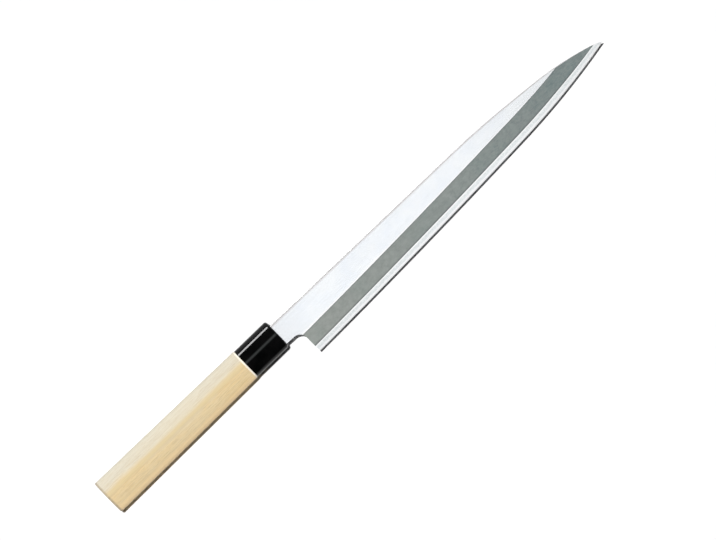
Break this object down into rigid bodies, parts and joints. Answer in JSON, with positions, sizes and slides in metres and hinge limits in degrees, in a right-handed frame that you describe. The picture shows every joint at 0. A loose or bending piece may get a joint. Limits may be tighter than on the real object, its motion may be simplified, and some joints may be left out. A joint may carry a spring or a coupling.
{
  "type": "yanagiba knife",
  "caption": "Long single-bevel slicing knife with a laminated, hollow-backed blade, a black resin ferrule and a pale wooden handle of chestnut section",
  "frame": {"origin": "centre of the flat butt of the handle, on the handle's axis", "axes": "+X along the handle to the tip, +Y to the spine, +Z out of the bevelled side"},
  "size_m": [0.3851, 0.0352, 0.019],
  "materials": {
    "soft_iron": "flat polished along the blade, bevel ground to a soft grey haze",
    "hard_steel": "bright stone polish with fine cross scratches",
    "seal_resin": "set resin, out of sight",
    "black_resin": "polished black",
    "pale_wood": "fine sanded, unvarnished, straight grain"
  },
  "bodies": {
    "root": {"blade_body": "soft_iron", "edge_steel": "hard_steel", "tang_seal": "seal_resin", "ferrule": "black_resin", "handle": "pale_wood"}
  },
  "joints": []
}
